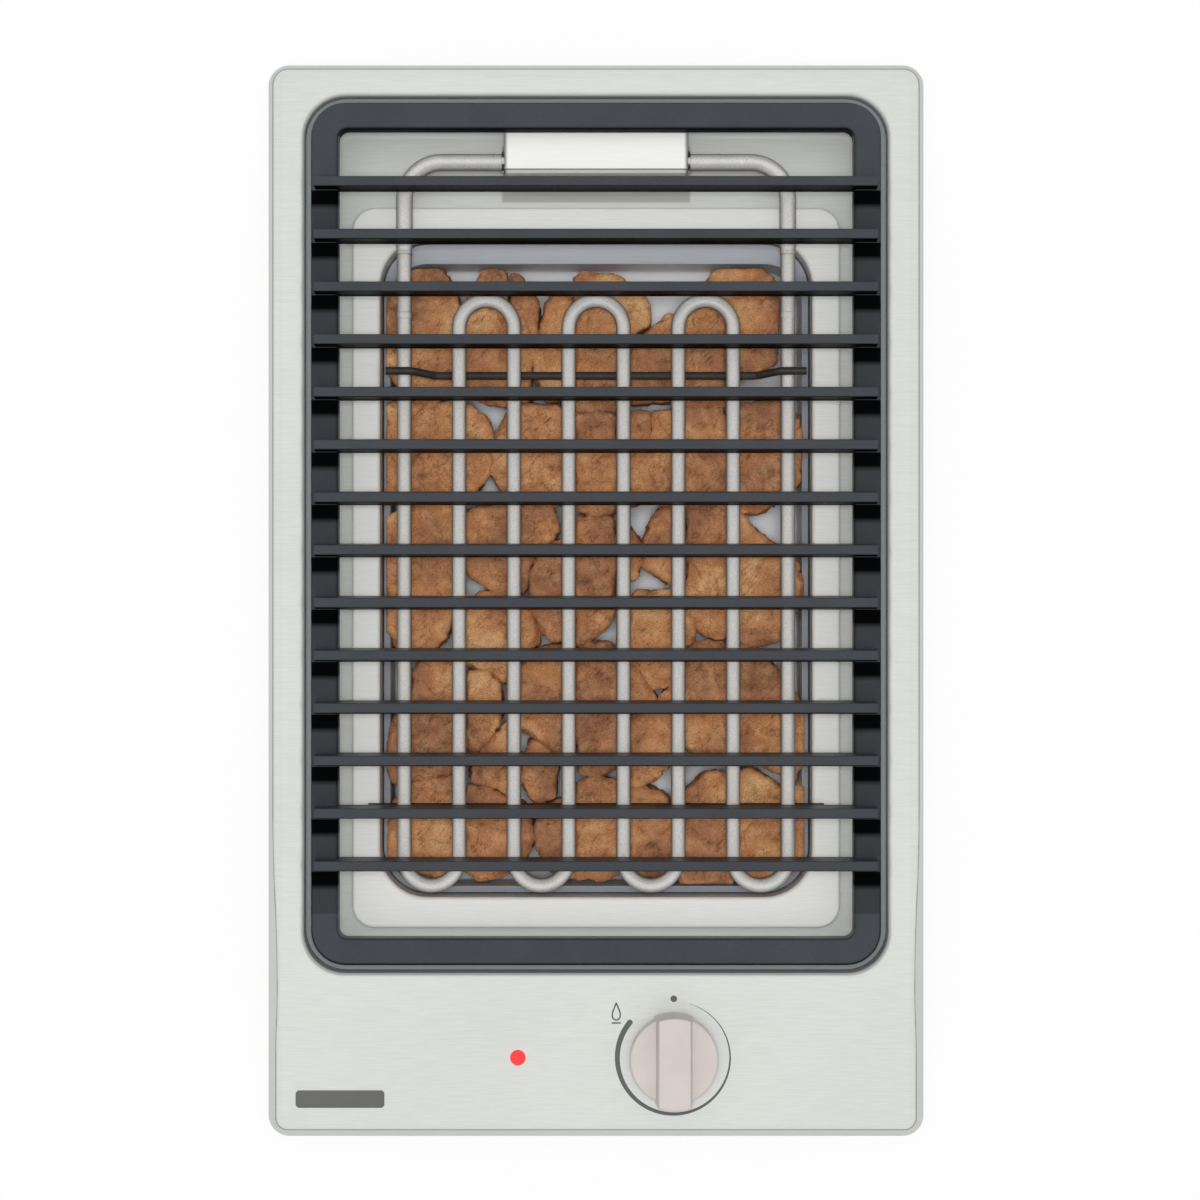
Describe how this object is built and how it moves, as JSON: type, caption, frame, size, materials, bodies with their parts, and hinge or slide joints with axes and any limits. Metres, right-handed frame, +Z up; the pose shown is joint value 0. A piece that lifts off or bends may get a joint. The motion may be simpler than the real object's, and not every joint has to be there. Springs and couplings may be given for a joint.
{
  "type": "built-in electric barbecue cooktop",
  "caption": "Built-in electric barbecue cooktop: steel top plate with a well, cast-iron bar grid, serpentine heating element that swings up, lava stones on a tray, and a dial.",
  "frame": {"origin": "centre of the underside, on the base cover's lower face", "axes": "+X to the right, +Y to the back and +Z up, as the person who cooks sees it; the knob is at the front"},
  "size_m": [0.312, 0.51, 0.1419],
  "materials": {
    "plate_steel": "brushed across, satin",
    "tray_steel": "satin",
    "stone_pan_steel": "heat-dulled satin",
    "cover_steel": "bright satin",
    "zinc_steel": "zinc-coated sheet",
    "iron": "seasoned, matt",
    "heater_steel": "matt stainless tube",
    "rod_steel": "heat-darkened",
    "lava": "rough brown lava stone",
    "ceramic": "unglazed ceramic",
    "foam": "closed-cell foam",
    "black_moulding": "moulded",
    "white_moulding": "moulded",
    "knob_moulding": "satin",
    "red_lens": "clear red, lit",
    "screw_steel": "zinc-plated",
    "contact_brass": "bright",
    "lead_sleeve": "woven glass sleeve",
    "brown_wire": "insulated",
    "white_wire": "insulated",
    "green_wire": "insulated"
  },
  "bodies": {
    "hob": {"top_plate": "plate_steel", "worktop_seal": "foam", "housing": "zinc_steel", "base_cover": "zinc_steel", "base_screws": "screw_steel", "side_brackets": "zinc_steel", "side_screws": "screw_steel", "worktop_clamps": "zinc_steel", "clamp_fixings": "screw_steel", "clamp_screws": "screw_steel", "heat_partition": "zinc_steel", "duct_grommet": "black_moulding", "wire_channel": "zinc_steel", "basin_tray": "tray_steel", "stone_tray": "stone_pan_steel", "lava_stones_row_1": "lava", "lava_stones_row_2": "lava", "lava_stones_row_3": "lava", "lava_stones_row_4": "lava", "lava_stones_row_5": "lava", "pivot_cover": "cover_steel", "pivot_base": "zinc_steel", "pivot_bushes": "tray_steel", "pivot_screws": "screw_steel", "pivot_nuts": "screw_steel", "lead_block": "ceramic", "lead_conduit": "screw_steel", "conduit_nut": "screw_steel", "control_bracket": "zinc_steel", "energy_regulator": "black_moulding", "regulator_screws": "screw_steel", "regulator_tabs": "contact_brass", "lamp_lens": "red_lens", "lamp_holder": "white_moulding", "lamp_tabs": "contact_brass", "terminal_block": "white_moulding", "terminal_screws": "contact_brass", "entry_screws": "screw_steel", "cable_bush": "black_moulding", "cable_saddle": "white_moulding", "cable_saddle_bar": "white_moulding", "earth_stud": "contact_brass", "earth_nuts": "contact_brass", "earth_lug": "contact_brass", "harness_element": "lead_sleeve", "harness_mains": "brown_wire", "harness_lamp": "white_wire", "harness_earth": "green_wire"},
    "knob": {"knob": "knob_moulding", "regulator_spindle": "screw_steel"},
    "grid": {"grid": "iron"},
    "element": {"heating_element": "heater_steel", "cold_sleeve_left": "heater_steel", "cold_sleeve_right": "heater_steel", "front_rod": "rod_steel", "back_rod": "rod_steel", "end_seals": "ceramic", "end_pins": "contact_brass"}
  },
  "joints": [
    {"name": "knob_turn", "type": "hinge", "parent": "hob", "child": "knob", "pos_m": [0.0368, -0.2164, 0.12], "axis": [0, 0, -1], "range_deg": [0, 308]},
    {"name": "grid_lift", "type": "slide", "parent": "hob", "child": "grid", "axis": [0, 0, 1], "range_m": [0, 0.5]},
    {"name": "element_swing", "type": "hinge", "parent": "hob", "child": "element", "pos_m": [0, 0.2108, 0.099], "axis": [-1, 0, 0], "range_deg": [0, 86]}
  ],
  "couplings": [
    {"joint": "element_swing", "follows": "grid_lift", "rad_per_m": 3}
  ]
}
